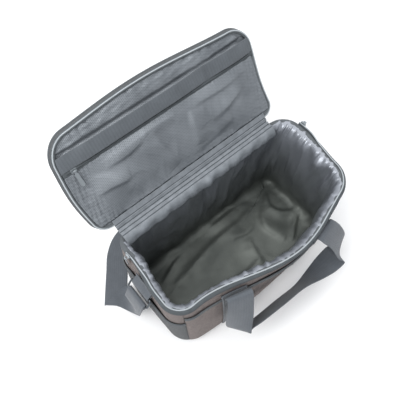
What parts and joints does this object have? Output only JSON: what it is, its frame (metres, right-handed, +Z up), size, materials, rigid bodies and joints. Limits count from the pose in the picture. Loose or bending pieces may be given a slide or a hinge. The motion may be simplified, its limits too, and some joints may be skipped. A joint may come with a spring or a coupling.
{
  "type": "insulated cooler bag",
  "caption": "Soft rectangular insulated bag with a zipped hinged lid, foil liner, outside pockets, two webbing handles and a shoulder strap.",
  "frame": {"origin": "centre of the base on the surface it stands on", "axes": "+X along the long side, -Y to the front away from the lid's hinge, +Z up"},
  "size_m": [0.5714, 0.4657, 0.4143],
  "materials": {
    "cover": "melange woven polyester",
    "grey_cloth": "woven polyester",
    "foam": "closed-cell foam",
    "liner": "welded foil film",
    "lid_lining": "diamond-dot lining cloth",
    "webbing": "woven webbing",
    "binding": "grosgrain binding tape",
    "zip": "coil zip",
    "zip_metal": "painted die-cast",
    "ring_wire": "nickel plated wire",
    "adjuster": "moulded acetal"
  },
  "bodies": {
    "root": {"base_panel": "grey_cloth", "base_foam": "foam", "front_panel": "cover", "back_panel": "cover", "left_panel": "cover", "right_panel": "cover", "front_foam": "foam", "back_foam": "foam", "left_foam": "foam", "right_foam": "foam", "liner": "liner", "rim_binding": "binding", "body_zip_tape": "zip", "body_zip_coil": "zip", "front_pocket": "cover", "front_pocket_binding": "binding", "left_pocket": "grey_cloth", "left_pocket_binding": "binding", "right_pocket": "grey_cloth", "right_pocket_binding": "binding", "hinge_strip_lower": "lid_lining", "front_left_anchor": "webbing", "front_right_anchor": "webbing", "back_left_anchor": "webbing", "back_right_anchor": "webbing", "left_ring_tab": "webbing", "right_ring_tab": "webbing", "shoulder_strap": "webbing"},
    "lid": {"hinge_strip_upper": "lid_lining", "lid_top_panel": "cover", "lid_side_band": "grey_cloth", "lid_foam": "foam", "lid_lining": "lid_lining", "lid_piping": "binding", "lid_zip_tape": "zip", "lid_zip_coil": "zip", "lid_band": "webbing", "lid_pocket": "lid_lining", "lid_pocket_zip": "zip"},
    "front_handle": {"front_handle": "webbing"},
    "back_handle": {"back_handle": "webbing"},
    "left_ring": {"left_ring": "ring_wire", "left_strap_end": "webbing"},
    "right_ring": {"right_ring": "ring_wire", "right_strap_end": "webbing"},
    "pocket_slider": {"pocket_slider": "zip_metal"},
    "pocket_puller": {"pocket_puller": "zip_metal"},
    "left_zip_slider": {"left_zip_slider": "zip_metal"},
    "left_zip_puller": {"left_zip_puller": "zip_metal"},
    "right_zip_slider": {"right_zip_slider": "zip_metal"},
    "right_zip_puller": {"right_zip_puller": "zip_metal"},
    "strap_adjuster": {"strap_adjuster": "adjuster"}
  },
  "joints": [
    {"name": "lid_hinge", "type": "hinge", "parent": "root", "child": "lid", "pos_m": [0, 0.1025, 0.232], "axis": [-1, 0, 0], "range_deg": [-125, 55]},
    {"name": "front_handle_swing", "type": "hinge", "parent": "root", "child": "front_handle", "pos_m": [0, -0.13043, 0.201], "axis": [-1, 0, 0], "range_deg": [-36, 138]},
    {"name": "back_handle_swing", "type": "hinge", "parent": "root", "child": "back_handle", "pos_m": [0, 0.1063, 0.201], "axis": [-1, 0, 0], "range_deg": [-135, 0]},
    {"name": "left_ring_swing", "type": "hinge", "parent": "root", "child": "left_ring", "pos_m": [-0.2238, 0, 0.1888], "axis": [0, 1, 0], "range_deg": [-8, 110]},
    {"name": "right_ring_swing", "type": "hinge", "parent": "root", "child": "right_ring", "pos_m": [0.2238, 0, 0.1888], "axis": [0, -1, 0], "range_deg": [-8, 110]},
    {"name": "pocket_zip_slide", "type": "slide", "parent": "lid", "child": "pocket_slider", "axis": [1, 0, 0], "range_m": [0, 0.396]},
    {"name": "pocket_pull_swing", "type": "hinge", "parent": "pocket_slider", "child": "pocket_puller", "pos_m": [-0.198, 0.18215, 0.35446], "axis": [-1, 0, 0], "range_deg": [0, 165]},
    {"name": "left_zip_slide", "type": "slide", "parent": "root", "child": "left_zip_slider", "axis": [0, -1, 0], "range_m": [0, 0.095]},
    {"name": "left_pull_swing", "type": "hinge", "parent": "left_zip_slider", "child": "left_zip_puller", "pos_m": [-0.229, 0.0525, 0.2307], "axis": [0, 1, 0], "range_deg": [0, 160]},
    {"name": "right_zip_slide", "type": "slide", "parent": "root", "child": "right_zip_slider", "axis": [0, -1, 0], "range_m": [0, 0.095]},
    {"name": "right_pull_swing", "type": "hinge", "parent": "right_zip_slider", "child": "right_zip_puller", "pos_m": [0.229, 0.0525, 0.2307], "axis": [0, -1, 0], "range_deg": [0, 160]},
    {"name": "adjuster_slide", "type": "slide", "parent": "root", "child": "strap_adjuster", "axis": [1, 0, 0], "range_m": [-0.22, 0.05]}
  ]
}
